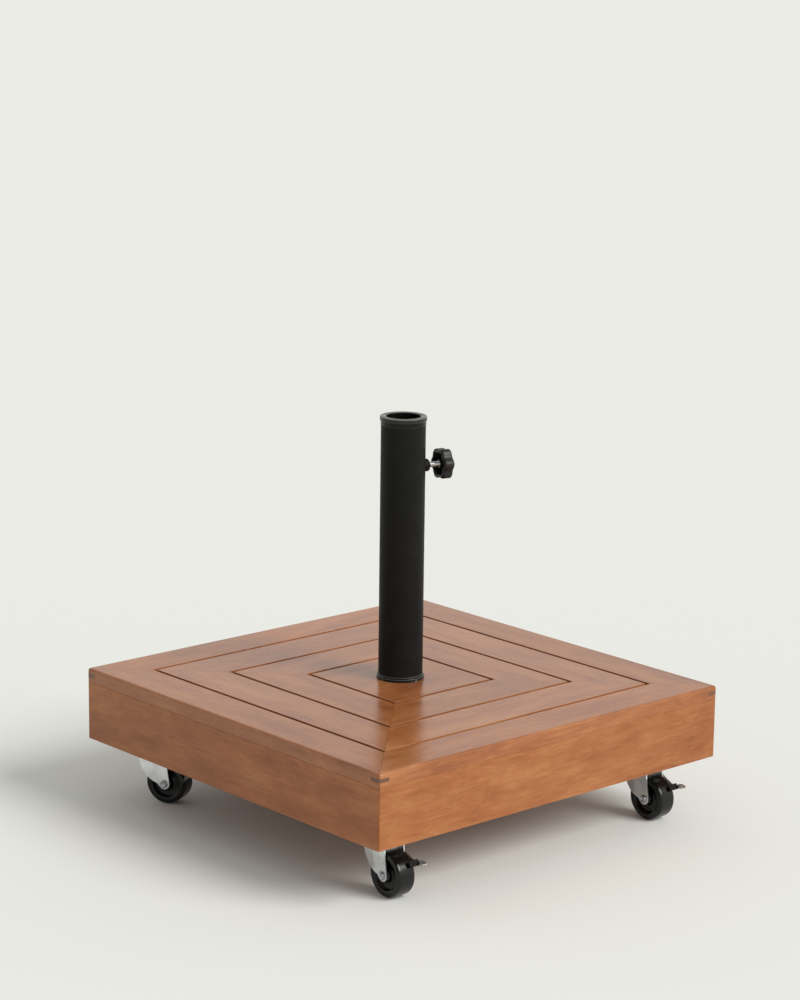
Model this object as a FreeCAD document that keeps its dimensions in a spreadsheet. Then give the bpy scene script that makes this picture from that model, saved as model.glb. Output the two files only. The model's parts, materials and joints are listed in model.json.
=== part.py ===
import FreeCAD, Part
import os
import Sketcher

# Wheeled patio umbrella base: a square hardwood box on four braked swivel casters, with a deck of
# concentric mitred boards, ballast blocks inside, a steel pole tube and a star-knob pole clamp.
# Millimetres, +Z up. The origin is on the floor, under the middle of the pole tube.

SIZES = {
    # wooden box
    "base_half": 255, "deck_top": 156, "deck_thick": 16, "apron_thick": 18, "box_bottom": 72,
    "corner_round": 2.5, "deck_round": 3, "arris": 0.6, "mitre_gap": 0.16, "seam_round": 0.5,
    # half sizes of the square gaps between the deck boards
    "gap_outer": 199.7, "gap_middle": 137.3, "gap_inner": 74.4, "gap_width": 4,
    "key_leg": 13.5, "key_thick": 4.4, "key_drop": 5.6,
    # hidden wood and ballast
    "panel_thick": 12, "panel_gap": 0.3, "batten_thick": 20, "batten_width": 46,
    "batten_start": 60, "batten_length": 262, "block_long": 302, "block_wide": 150,
    "block_tall": 33, "block_edge": 228,
    # screws
    "screw_shank": 2, "screw_pilot": 2.1, "screw_head": 3.8, "screw_side": 10, "deck_bite": 10,
    # pole tube and its fittings
    "tube_outer": 25.4, "tube_wall": 1.5, "tube_hole": 25.8, "tube_top": 455.5,
    "foot_half": 70, "foot_thick": 5, "foot_bolt_pitch": 54, "foot_bolt": 4,
    "collar_outer": 27.4, "collar_tall": 5.6, "collar_flat": 3.2,
    "cap_lip": 26.7, "cap_lip_tall": 4.5, "cap_bore": 19.6, "cap_sleeve": 36, "cap_skirt": 5,
    "cap_skirt_thick": 0.4,
    # pole clamp, along its own axis from the tube's centre line outwards
    "clamp_height": 401, "clamp_turn": -14, "nut_radius": 7.3, "nut_end": 32.2,
    "stud_radius": 3, "stud_start": 25.7, "run_gap": 0.05, "pad_start": 24.1,
    "knob_start": 44.6, "knob_thick": 13, "knob_disc": 15.4, "lobe_centre": 12.6,
    "lobe_radius": 5.8, "lobe_lean": 6, "knob_wall": 2.6, "knob_hub": 5, "knob_edge": 2,
    # caster, in its own frame: swivel axis at the origin, mounting face at z = 0, trail along +X
    "caster_at": 198, "trail": 15.7, "axle_drop": 47, "wheel_radius": 25, "wheel_half": 11.2,
    "plate_half": 25, "plate_thick": 2, "plate_corner": 5, "plate_hole": 18, "race_drop": 3.2,
    "ball_radius": 1.8, "ball_circle": 15, "crown_top": 7, "crown_thick": 2, "crown_radius": 20.3,
    "cup_top": 3.6, "pin_radius": 4, "leg_inside": 12.2, "leg_thick": 1.8, "fold_inset": 2.2,
    "tip_radius": 6.7, "axle_radius": 3, "axle_head": 4.3, "axle_head_tall": 2.3,
    "axle_washer": 5.3, "axle_washer_thick": 0.6, "nut_across": 8, "nut_tall": 3,
    "lever_pivot_x": 14.5, "lever_pivot_drop": 25, "lever_pin": 2, "lever_gap": 0.3,
    "lever_thick": 1.6, "lever_tip": 53.5, "shoe_reach": 3, "shoe_gap": 2.2,
    # resting swivel angle of each caster, degrees from +X
    "swivel_front": -92.2, "swivel_right": -89.8, "swivel_left": -65.6, "swivel_back": 90,
}
PARTS_FOLDER = "parts"

doc = FreeCAD.newDocument("umbrella_base")
sheet = doc.addObject("Spreadsheet::Sheet", "Sizes")
for row, (alias, number) in enumerate(SIZES.items(), 1):
    sheet.set(f"A{row}", alias)
    sheet.set(f"B{row}", str(number))
    sheet.setAlias(f"B{row}", alias)
doc.recompute()

pieces = []


def cell(text):
    """Turn a formula in bare aliases into one that names the sheet."""
    words = sorted(SIZES, key=len, reverse=True)
    for index, word in enumerate(words):
        text = text.replace(word, f"@{index}@")
    for index, word in enumerate(words):
        text = text.replace(f"@{index}@", f"Sizes.{word}")
    return text


def size(text):
    """Work out a formula in the sheet's aliases."""
    return float(sheet.evalExpression(cell(str(text))))


def new_body(name):
    """Start a piece whose label is its node's name."""
    body = doc.addObject("PartDesign::Body", name)
    body.Label = name
    pieces.append(body)
    return body


def new_sketch(body, plane, offset=("0", "0", "0")):
    """A sketch on one of the body's own origin planes, shifted by formulas."""
    sketch = body.newObject("Sketcher::SketchObject", "sketch")
    origin_plane = next(item for item in body.Origin.OriginFeatures if item.Role == plane)
    sketch.AttachmentSupport = [(origin_plane, "")]
    sketch.MapMode = "FlatFace"
    for axis, formula in zip("xyz", offset):
        sketch.setExpression(f".AttachmentOffset.Base.{axis}", cell(formula))
    return sketch


def pin_down(sketch, edge, end, point):
    """Bind one point of a sketch to two formulas."""
    for kind, formula in zip(("DistanceX", "DistanceY"), point):
        made = sketch.addConstraint(Sketcher.Constraint(kind, -1, 1, edge, end, size(formula)))
        sketch.setExpression(f"Constraints[{made}]", cell(formula))


def polygon(sketch, points):
    """A closed outline of straight lines through points given as pairs of formulas."""
    first = sketch.GeometryCount
    count = len(points)
    places = [FreeCAD.Vector(size(x), size(y), 0) for x, y in points]
    for index in range(count):
        line = Part.LineSegment(places[index], places[(index + 1) % count])
        sketch.addGeometry(line, False)
    for index in range(count):
        following = first + (index + 1) % count
        sketch.addConstraint(Sketcher.Constraint("Coincident", first + index, 2, following, 1))
        pin_down(sketch, first + index, 1, points[index])


def square(sketch, half):
    """A square about the sketch's origin."""
    polygon(sketch, [(f"-({half})", f"-({half})"), (half, f"-({half})"),
                     (half, half), (f"-({half})", half)])


def circle(sketch, x, y, radius):
    """A circle whose centre and radius are formulas."""
    centre = FreeCAD.Vector(size(x), size(y), 0)
    edge = sketch.addGeometry(Part.Circle(centre, FreeCAD.Vector(0, 0, 1), size(radius)), False)
    pin_down(sketch, edge, 3, (x, y))
    made = sketch.addConstraint(Sketcher.Constraint("Radius", edge, size(radius)))
    sketch.setExpression(f"Constraints[{made}]", cell(radius))


def pad(body, sketch, length, reverse=False, both_sides=False):
    """Raise a sketch into solid."""
    feature = body.newObject("PartDesign::Pad", "pad")
    feature.Profile = sketch
    feature.setExpression("Length", cell(length))
    feature.Reversed = reverse
    feature.Midplane = both_sides
    doc.recompute()
    return feature


def pocket(body, sketch, length=None, reverse=False, both_sides=False):
    """Cut a sketch out of the body; with no length it goes right through."""
    volume_before = body.Shape.Volume
    feature = body.newObject("PartDesign::Pocket", "pocket")
    feature.Profile = sketch
    feature.Reversed = reverse
    feature.Midplane = both_sides
    if length is None:
        feature.Type = "ThroughAll"
    else:
        feature.setExpression("Length", cell(length))
    doc.recompute()
    if body.Shape.Volume > volume_before - 0.01:
        raise RuntimeError(f"a pocket in {body.Label} cuts nothing")
    return feature


def revolve(body, plane, points, axis, offset=("0", "0", "0")):
    """Turn a closed outline once round an axis of its sketch."""
    sketch = new_sketch(body, plane, offset)
    polygon(sketch, points)
    feature = body.newObject("PartDesign::Revolution", "revolution")
    feature.Profile = sketch
    feature.ReferenceAxis = (sketch, [axis])
    feature.Angle = 360
    doc.recompute()
    return feature


def round_edges(body, wanted, radius, kind="PartDesign::Fillet", prop="Radius"):
    """Fillet or chamfer the edges of the body that a test picks out."""
    shaped = body.Tip
    edges = [f"Edge{number}" for number, edge in enumerate(shaped.Shape.Edges, 1) if wanted(edge)]
    feature = body.newObject(kind, "rounding")
    feature.Base = (shaped, edges)
    feature.setExpression(prop, cell(radius))
    doc.recompute()
    return feature


def place(body, base, turn="0"):
    """Put a body at three formulas, turned about Z by a fourth."""
    for axis, formula in zip("xyz", base):
        body.setExpression(f".Placement.Base.{axis}", cell(formula))
    body.setExpression(".Placement.Rotation.Angle", cell(turn))
    doc.recompute()


def span(edge, axis):
    """Lowest and highest value of an edge along one axis."""
    box = edge.BoundBox
    return getattr(box, axis + "Min"), getattr(box, axis + "Max")


def level_at(height):
    """A test for edges that lie flat at one height."""
    return lambda edge: max(abs(value - height) for value in span(edge, "Z")) < 1e-4


# ---------------------------------------------------------------- wooden box

SIDES = {"front": "0", "right": "90", "back": "180", "left": "270"}


def mitred_board(name, outer, inner, thick, turn, top_round, bottom_round, square_corner):
    """One side of a square frame: a frame blank, rounded, then cut along its two mitres."""
    body = new_body(name)
    blank = new_sketch(body, "XY_Plane")
    square(blank, outer)
    pad(body, blank, thick)
    half = size(outer)
    height = size(thick)
    if not square_corner:
        round_edges(body, lambda e: span(e, "Z")[1] - span(e, "Z")[0] > height - 1e-4, "corner_round")
    round_edges(body, level_at(height), top_round)
    round_edges(body, level_at(0), bottom_round)
    opening = new_sketch(body, "XY_Plane")
    square(opening, inner)
    pocket(body, opening, reverse=True)
    inside = size(inner)

    def inner_top_edge(edge):
        box = edge.BoundBox
        reach = max(abs(box.XMin), abs(box.XMax), abs(box.YMin), abs(box.YMax))
        return level_at(height)(edge) and reach < inside + 1e-3 < half

    round_edges(body, inner_top_edge, "arris")
    rest = new_sketch(body, "XY_Plane")
    far = f"({outer} + 20)"
    polygon(rest, [("0", "-mitre_gap"), (far, f"-{far} - mitre_gap"), (f"{far} + 1", far),
                   (f"-{far} - 1", far), (f"-{far}", f"-{far} - mitre_gap")])
    pocket(body, rest, reverse=True)
    body.setExpression(".Placement.Rotation.Angle", turn)
    return body


def drill_board(body, middle):
    """Blind pilot holes under a deck board, two where each diagonal batten crosses it."""
    holes = new_sketch(body, "XY_Plane")
    along = f"({middle}) - screw_side * sqrt(2)"
    for x in (along, f"-({along})"):
        circle(holes, x, f"-({middle})", "screw_pilot")
    pocket(body, holes, "deck_bite", reverse=True)


def key_slots(body):
    """Slots for the corner keys, across both mitres of an outer board."""
    slots = new_sketch(body, "XY_Plane", ("0", "0", "deck_thick - key_drop - key_thick"))
    for sign in ("", "-"):
        polygon(slots, [(f"{sign}(base_half + 1)", "-base_half - 1"),
                        (f"{sign}(base_half - key_leg)", "-base_half - 1"),
                        (f"{sign}(base_half - key_leg)", "-base_half"),
                        (f"{sign}(base_half - key_leg / 2)", "-base_half + key_leg / 2"),
                        (f"{sign}(base_half + 1)", "-base_half + key_leg / 2")])
    pocket(body, slots, "key_thick", reverse=True)


RINGS = {
    "outer": ("base_half", "gap_outer + gap_width / 2"),
    "middle": ("gap_outer - gap_width / 2", "gap_middle + gap_width / 2"),
    "inner": ("gap_middle - gap_width / 2", "gap_inner + gap_width / 2"),
}

for ring, (outer, inner) in RINGS.items():
    for side, turn in SIDES.items():
        edge_round = "deck_round" if ring == "outer" else "arris"
        board = mitred_board(f"{ring}_board_{side}", outer, inner, "deck_thick", turn,
                             edge_round, "seam_round", ring != "outer")
        drill_board(board, f"(({outer}) + ({inner})) / 2")
        if ring == "outer":
            key_slots(board)
        board.setExpression(".Placement.Base.z", cell("deck_top - deck_thick"))

for side, turn in SIDES.items():
    apron = mitred_board(f"apron_{side}", "base_half", "base_half - apron_thick",
                         "deck_top - deck_thick - box_bottom", turn, "seam_round", "seam_round", False)
    apron.setExpression(".Placement.Base.z", cell("box_bottom"))

centre = new_body("centre_panel")
outline = new_sketch(centre, "XY_Plane")
square(outline, "gap_inner - gap_width / 2")
pad(centre, outline, "deck_thick")
round_edges(centre, level_at(size("deck_thick")), "arris")
openings = new_sketch(centre, "XY_Plane")
circle(openings, "0", "0", "tube_hole")
pocket(centre, openings, reverse=True)
pilots = new_sketch(centre, "XY_Plane")
CENTRE_SCREW = "((batten_start + 15) / sqrt(2))"
for x_sign, y_sign in (("", ""), ("-", ""), ("-", "-"), ("", "-")):
    circle(pilots, f"{x_sign}{CENTRE_SCREW}", f"{y_sign}{CENTRE_SCREW}", "screw_pilot")
pocket(centre, pilots, "deck_bite", reverse=True)
place(centre, ("0", "0", "deck_top - deck_thick"))

# Dark triangular keys let in across the four outer mitres.
keys = []
for index in range(4):
    key = doc.addObject("PartDesign::Body", f"key_{index}")
    outline = new_sketch(key, "XY_Plane")
    polygon(outline, [("base_half - 0.7", "base_half - 0.7"), ("base_half - key_leg + 0.1", "base_half"),
                      ("base_half - key_leg / 2 + 0.05", "base_half - key_leg / 2 + 0.05"),
                      ("base_half", "base_half - key_leg + 0.1")][::-1])
    pad(key, outline, "key_thick - 0.1")
    place(key, ("0", "0", "deck_top - key_drop - key_thick + 0.05"), f"{90 * index}")
    keys.append(key)


def group(name, members):
    """Several identical solids that share one node."""
    compound = doc.addObject("Part::Compound", name)
    compound.Label = name
    compound.Links = members
    doc.recompute()
    pieces.append(compound)


group("corner_keys", keys)

# Diagonal battens under the mitres tie the three rings and the centre panel together.
CORNERS = {"back": "45", "left": "135", "front": "225", "right": "315"}
RING_MIDDLES = [f"(({outer}) + ({inner})) / 2" for outer, inner in RINGS.values()]


def screw_spots():
    """Screw places along a batten: (distance along the diagonal, distance beside it)."""
    spots = [("batten_start + 15", "0")]
    for middle in RING_MIDDLES:
        for side in ("screw_side", "-screw_side"):
            spots.append((f"(2 * ({middle}) - screw_side * sqrt(2)) / sqrt(2)", side))
    return spots


for corner, turn in CORNERS.items():
    batten = new_body(f"batten_{corner}")
    outline = new_sketch(batten, "XY_Plane")
    tip = "(batten_start + batten_length)"
    polygon(outline, [("batten_start", "-batten_width / 2"),
                      (f"{tip} - batten_width / 2", "-batten_width / 2"),
                      (tip, "0"), (f"{tip} - batten_width / 2", "batten_width / 2"),
                      ("batten_start", "batten_width / 2")])
    pad(batten, outline, "batten_thick")
    holes = new_sketch(batten, "XY_Plane")
    for along, beside in screw_spots():
        circle(holes, along, beside, "screw_pilot")
    pocket(batten, holes, reverse=True)
    place(batten, ("0", "0", "deck_top - deck_thick - batten_thick"), turn)


def wood_screw(name, head_below):
    """A pan-head screw that points up from its head."""
    screw = doc.addObject("PartDesign::Body", name)
    length = "batten_thick + deck_bite - 1" if head_below else "panel_thick + plate_thick - 1"
    revolve(screw, "XZ_Plane",
            [("0", "-2"), ("screw_head - 1", "-2"), ("screw_head", "-1"), ("screw_head", "0"),
             ("screw_shank", "0"), ("screw_shank", f"{length} - 3"), ("0", length)], "V_Axis")
    return screw


deck_screws = []
for corner, turn in CORNERS.items():
    for along, beside in screw_spots():
        screw = wood_screw("deck_screw", True)
        x = f"cos({turn}) * ({along}) - sin({turn}) * ({beside})"
        y = f"sin({turn}) * ({along}) + cos({turn}) * ({beside})"
        place(screw, (x, y, "deck_top - deck_thick - batten_thick - 0.02"))
        deck_screws.append(screw)
group("deck_screws", deck_screws)

PLATE_SPOTS = [(x, y) for x in ("plate_hole", "-plate_hole") for y in ("plate_hole", "-plate_hole")]
CASTERS = {"front": ("-", "-"), "right": ("", "-"), "back": ("", ""), "left": ("-", "")}

panel = new_body("bottom_panel")
outline = new_sketch(panel, "XY_Plane")
square(outline, "base_half - apron_thick - panel_gap")
pad(panel, outline, "panel_thick")
holes = new_sketch(panel, "XY_Plane")
for x_sign in ("", "-"):
    for y_sign in ("", "-"):
        circle(holes, f"{x_sign}foot_bolt_pitch", f"{y_sign}foot_bolt_pitch", "foot_bolt + 0.1")
pocket(panel, holes, reverse=True)


pilots = new_sketch(panel, "XY_Plane")
for x_sign, y_sign in CASTERS.values():
    for x, y in PLATE_SPOTS:
        circle(pilots, f"{x_sign}caster_at + {x}", f"{y_sign}caster_at + {y}", "screw_pilot")
pocket(panel, pilots, reverse=True)
place(panel, ("0", "0", "box_bottom"))

# Four concrete blocks lie round the foot plate like a pinwheel.
for side, turn in SIDES.items():
    block = new_body(f"ballast_block_{side}")
    outline = new_sketch(block, "XY_Plane")
    polygon(outline, [("-block_edge", "-block_edge"), ("block_long - block_edge", "-block_edge"),
                      ("block_long - block_edge", "block_wide - block_edge"),
                      ("-block_edge", "block_wide - block_edge")])
    pad(block, outline, "block_tall")
    place(block, ("0", "0", "box_bottom + panel_thick"), turn)

# ---------------------------------------------------------------- pole tube

foot = new_body("foot_plate")
outline = new_sketch(foot, "XY_Plane")
square(outline, "foot_half")
pad(foot, outline, "foot_thick")
holes = new_sketch(foot, "XY_Plane")
for x_sign in ("", "-"):
    for y_sign in ("", "-"):
        circle(holes, f"{x_sign}foot_bolt_pitch", f"{y_sign}foot_bolt_pitch", "foot_bolt + 0.1")
pocket(foot, holes, reverse=True)
place(foot, ("0", "0", "box_bottom + panel_thick"))

foot_bolts = []
for x_sign in ("", "-"):
    for y_sign in ("", "-"):
        bolt = doc.addObject("PartDesign::Body", "foot_bolt")
        grip = "(panel_thick + foot_thick + 0.05)"
        revolve(bolt, "XZ_Plane",
                [("0", "-2.6"), ("foot_bolt", "-2.4"), ("foot_bolt * 2", "-1"), ("foot_bolt * 2.2", "0"),
                 ("foot_bolt", "0"), ("foot_bolt", grip), ("foot_bolt * 1.7", grip),
                 ("foot_bolt * 1.7", f"{grip} + 5.5"), ("foot_bolt * 1.5", f"{grip} + 6"),
                 ("foot_bolt", f"{grip} + 6"), ("foot_bolt", f"{grip} + 9"),
                 ("0", f"{grip} + 9")], "V_Axis")
        place(bolt, (f"{x_sign}foot_bolt_pitch", f"{y_sign}foot_bolt_pitch", "box_bottom - 0.02"))
        foot_bolts.append(bolt)
group("foot_bolts", foot_bolts)

tube = new_body("pole_tube")
TUBE_FOOT = "(box_bottom + panel_thick + foot_thick)"
revolve(tube, "XZ_Plane",
        [("tube_outer - tube_wall", TUBE_FOOT), ("tube_outer", TUBE_FOOT), ("tube_outer", "tube_top"),
         ("tube_outer - tube_wall", "tube_top")], "V_Axis")
hole = new_sketch(tube, "YZ_Plane")
circle(hole, "0", "clamp_height", "stud_radius + 0.2")
pocket(tube, hole, "tube_outer + 5", reverse=True)
tube.setExpression(".Placement.Rotation.Angle", cell("clamp_turn"))

collar = new_body("collar_ring")
revolve(collar, "XZ_Plane",
        [("tube_outer + 0.1", "deck_top"), ("collar_outer", "deck_top"),
         ("collar_outer", "deck_top + collar_flat"), ("collar_outer - 0.5", "deck_top + collar_tall - 1.2"),
         ("tube_outer + 1", "deck_top + collar_tall"), ("tube_outer + 0.1", "deck_top + collar_tall")],
        "V_Axis")

cap = new_body("reducer_cap")
SLEEVE = "(tube_outer - tube_wall - 0.1)"
CAP_TOP = "(tube_top + cap_lip_tall)"
revolve(cap, "XZ_Plane",
        [("cap_bore", "tube_top - cap_sleeve"), (SLEEVE, "tube_top - cap_sleeve"), (SLEEVE, "tube_top"),
         ("tube_outer + 0.05", "tube_top"), ("tube_outer + 0.05", "tube_top - cap_skirt"),
         ("tube_outer + cap_skirt_thick", "tube_top - cap_skirt"),
         ("tube_outer + cap_skirt_thick", "tube_top + 0.3"), ("cap_lip", "tube_top + 1"),
         ("cap_lip", f"{CAP_TOP} - 0.8"), ("cap_lip - 0.8", CAP_TOP), ("cap_bore + 0.6", CAP_TOP),
         ("cap_bore", f"{CAP_TOP} - 0.6")], "V_Axis")

# ---------------------------------------------------------------- pole clamp

CLAMP_SPOT = ("0", "0", "clamp_height")

nut = new_body("weld_nut")
revolve(nut, "XZ_Plane",
        [("tube_outer + 0.02", "stud_radius + run_gap"), ("nut_end", "stud_radius + run_gap"),
         ("nut_end", "nut_radius - 1.6"), ("nut_end - 1.4", "nut_radius"),
         ("tube_outer + 0.02", "nut_radius")], "H_Axis")
place(nut, CLAMP_SPOT, "clamp_turn")

stud = new_body("clamp_stud")
revolve(stud, "XZ_Plane",
        [("stud_start", "0"), ("stud_start", "stud_radius - 0.6"), ("stud_start + 0.6", "stud_radius"),
         ("knob_start + knob_thick - 3", "stud_radius"), ("knob_start + knob_thick - 3", "0")], "H_Axis")
place(stud, CLAMP_SPOT, "clamp_turn")

pressure_pad = new_body("pressure_pad")
revolve(pressure_pad, "XZ_Plane",
        [("pad_start", "0"), ("pad_start", "stud_radius - 0.5"), ("pad_start + 0.5", "stud_radius"),
         ("stud_start - run_gap", "stud_radius"), ("stud_start - run_gap", "0")], "H_Axis")
place(pressure_pad, CLAMP_SPOT, "clamp_turn")

knob = new_body("clamp_knob")
disc = new_sketch(knob, "YZ_Plane", ("0", "0", "knob_start"))
circle(disc, "0", "0", "knob_disc")
pad(knob, disc, "knob_thick")
lobe_sketch = new_sketch(knob, "YZ_Plane", ("0", "0", "knob_start"))
circle(lobe_sketch, "lobe_centre * cos(lobe_lean)", "-lobe_centre * sin(lobe_lean)", "lobe_radius")
lobe = pad(knob, lobe_sketch, "knob_thick")
lobes = knob.newObject("PartDesign::PolarPattern", "lobes")
lobes.Originals = [lobe]
lobes.Axis = (lobe_sketch, ["N_Axis"])
lobes.Angle = 360
lobes.Occurrences = 6
knob.Tip = lobes
doc.recompute()


def knob_rim(edge):
    box = edge.BoundBox
    flat = box.XMax - box.XMin < 1e-4
    return flat and box.XMin > size("knob_start + knob_thick") - 1e-3


round_edges(knob, knob_rim, "knob_edge")
hollow = new_sketch(knob, "YZ_Plane", ("0", "0", "knob_start"))
circle(hollow, "0", "0", "knob_disc - knob_wall")
pocket(knob, hollow, "knob_thick - knob_wall - 1", reverse=True)
hub = new_sketch(knob, "YZ_Plane", ("0", "0", "knob_start + 1.2"))
circle(hub, "0", "0", "knob_hub")
pad(knob, hub, "knob_thick - 3")
bore = new_sketch(knob, "YZ_Plane", ("0", "0", "knob_start"))
circle(bore, "0", "0", "stud_radius + 0.02")
pocket(knob, bore, "knob_thick - 2.8", reverse=True)
place(knob, CLAMP_SPOT, "clamp_turn")

# ---------------------------------------------------------------- casters


def at_caster(body, corner):
    """Stand a caster's piece under its corner, turned to its resting swivel angle."""
    x_sign, y_sign = CASTERS[corner]
    place(body, (f"{x_sign}caster_at", f"{y_sign}caster_at", "box_bottom"), f"swivel_{corner}")


def caster_plate(corner):
    """Mounting plate with the upper ball race; it stays square to the box."""
    body = new_body(f"caster_plate_{corner}")
    outline = new_sketch(body, "XY_Plane")
    square(outline, "plate_half")
    pad(body, outline, "plate_thick", reverse=True)
    upright = lambda e: span(e, "Z")[1] - span(e, "Z")[0] > size("plate_thick") - 1e-4
    round_edges(body, upright, "plate_corner")
    race = new_sketch(body, "XY_Plane")
    circle(race, "0", "0", "ball_circle + 2.5")
    pad(body, race, "race_drop", reverse=True)
    holes = new_sketch(body, "XY_Plane")
    for x, y in PLATE_SPOTS:
        circle(holes, x, y, "screw_pilot + 0.1")
    circle(holes, "0", "0", "pin_radius + run_gap")
    pocket(body, holes)
    sink = new_sketch(body, "XY_Plane")
    circle(sink, "0", "0", "pin_radius + 2")
    pocket(body, sink, "1.2")
    x_sign, y_sign = CASTERS[corner]
    place(body, (f"{x_sign}caster_at", f"{y_sign}caster_at", "box_bottom"))


def fork(corner):
    """Stamped fork: a round ball cup with two folded legs that narrow to the axle."""
    body = new_body(f"caster_fork_{corner}")
    crown_low = "-(crown_top + crown_thick)"
    revolve(body, "XZ_Plane",
            [("pin_radius + run_gap", "-crown_top"), ("crown_radius - 1.8", "-crown_top"),
             ("crown_radius - 1.2", "-cup_top"), ("crown_radius", "-cup_top"),
             ("crown_radius", f"{crown_low} + 1"), ("crown_radius - 1", crown_low),
             ("pin_radius + run_gap", crown_low)], "V_Axis")
    legs = new_sketch(body, "XY_Plane", ("0", "0", "-crown_top - 0.5"))
    outside = "(leg_inside + leg_thick)"
    for sign in ("-", ""):
        polygon(legs, [("-20.5", f"{sign}(leg_inside - fold_inset)"), ("0", f"{sign}leg_inside"),
                       ("26", f"{sign}leg_inside"), ("26", f"{sign}{outside}"),
                       ("0", f"{sign}{outside}"), ("-20.5", f"{sign}({outside} - fold_inset)")])
    pad(body, legs, "axle_drop + tip_radius + 1 - crown_top", reverse=True)
    trim = new_sketch(body, "XZ_Plane")
    low = "-axle_drop - tip_radius - 4"
    polygon(trim, [("-30", f"{crown_low} - 0.4"), ("-30", low), ("40", low), ("40", f"{crown_low} + 1.9"),
                   ("18", f"{crown_low} + 1.9"), ("18.4", "-20"),
                   ("trail + tip_radius", "-axle_drop + 1"),
                   ("trail + tip_radius * 0.985", "-axle_drop - tip_radius * 0.17"),
                   ("trail + tip_radius * 0.87", "-axle_drop - tip_radius * 0.5"),
                   ("trail + tip_radius * 0.64", "-axle_drop - tip_radius * 0.77"),
                   ("trail + tip_radius * 0.34", "-axle_drop - tip_radius * 0.94"),
                   ("trail", "-axle_drop - tip_radius"),
                   ("trail - tip_radius * 0.34", "-axle_drop - tip_radius * 0.94"),
                   ("trail - tip_radius * 0.64", "-axle_drop - tip_radius * 0.77"),
                   ("trail - tip_radius * 0.94", "-axle_drop - tip_radius * 0.5"),
                   ("trail - tip_radius * 1.25", "-axle_drop - tip_radius * 0.12"),
                   ("-1", "-44.6"), ("-6.8", "-41"), ("-11.4", "-36"), ("-15.2", "-30"),
                   ("-18.2", "-22"), ("-19.2", f"{crown_low} - 0.4")])
    pocket(body, trim, "crown_radius * 2 + 4", both_sides=True)
    axle_hole = new_sketch(body, "XZ_Plane")
    circle(axle_hole, "trail", "-axle_drop", "axle_radius + 0.02")
    pocket(body, axle_hole, "crown_radius * 2 + 4", both_sides=True)
    lever_hole = new_sketch(body, "XZ_Plane")
    circle(lever_hole, "lever_pivot_x", "-lever_pivot_drop", "lever_pin + run_gap")
    pocket(body, lever_hole, "crown_radius")
    at_caster(body, corner)


def wheel(corner):
    """Solid black wheel: rounded tread, dished sides and a hub that runs on the axle."""
    body = new_body(f"caster_wheel_{corner}")
    right_side = [("axle_radius + run_gap", "leg_inside - 0.3"), ("6.6", "leg_inside - 0.3"),
                  ("7.2", "leg_inside - 1.4"), ("8.6", "5.6"), ("15.4", "6"),
                  ("17.6", "wheel_half - 0.8"), ("18.8", "wheel_half"),
                  ("wheel_radius - 4.4", "wheel_half"),
                  ("wheel_radius - 2.6", "wheel_half - 0.5"), ("wheel_radius - 1.2", "wheel_half - 1.7"),
                  ("wheel_radius - 0.3", "wheel_half - 3.4"), ("wheel_radius", "wheel_half - 5.2")]
    left_side = [(radius, f"-({across})") for radius, across in reversed(right_side)]
    # Sketch coordinates on the YZ plane: across the wheel, then up from the axle's line.
    outline = [(across, radius) for radius, across in right_side + left_side]
    revolve(body, "YZ_Plane", outline, "H_Axis", ("0", "-axle_drop", "trail"))
    at_caster(body, corner)


def axle(corner):
    """Axle rivet with a washer under its head and a nut on its far end, fixed in the fork."""
    body = new_body(f"caster_axle_{corner}")
    face = "(leg_inside + leg_thick + 0.02)"
    revolve(body, "YZ_Plane",
            [(f"-{face} - axle_washer_thick - axle_head_tall", "0"),
             (f"-{face} - axle_washer_thick - axle_head_tall", "axle_head - 1"),
             (f"-{face} - axle_washer_thick - axle_head_tall + 0.7", "axle_head"),
             (f"-{face} - axle_washer_thick", "axle_head"),
             (f"-{face} - axle_washer_thick", "axle_washer"), (f"-{face}", "axle_washer"),
             (f"-{face}", "axle_radius"), (f"{face} + nut_tall + 1.2", "axle_radius"),
             (f"{face} + nut_tall + 1.2", "0")], "H_Axis", ("0", "-axle_drop", "trail"))
    hexagon = new_sketch(body, "XZ_Plane", ("trail", "-axle_drop", f"-{face} - nut_tall"))
    corner_reach = "(nut_across / sqrt(3))"
    polygon(hexagon, [(f"{corner_reach} * cos({60 * index})", f"{corner_reach} * sin({60 * index})")
                      for index in range(6)])
    pad(body, hexagon, "nut_tall")
    at_caster(body, corner)


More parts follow.
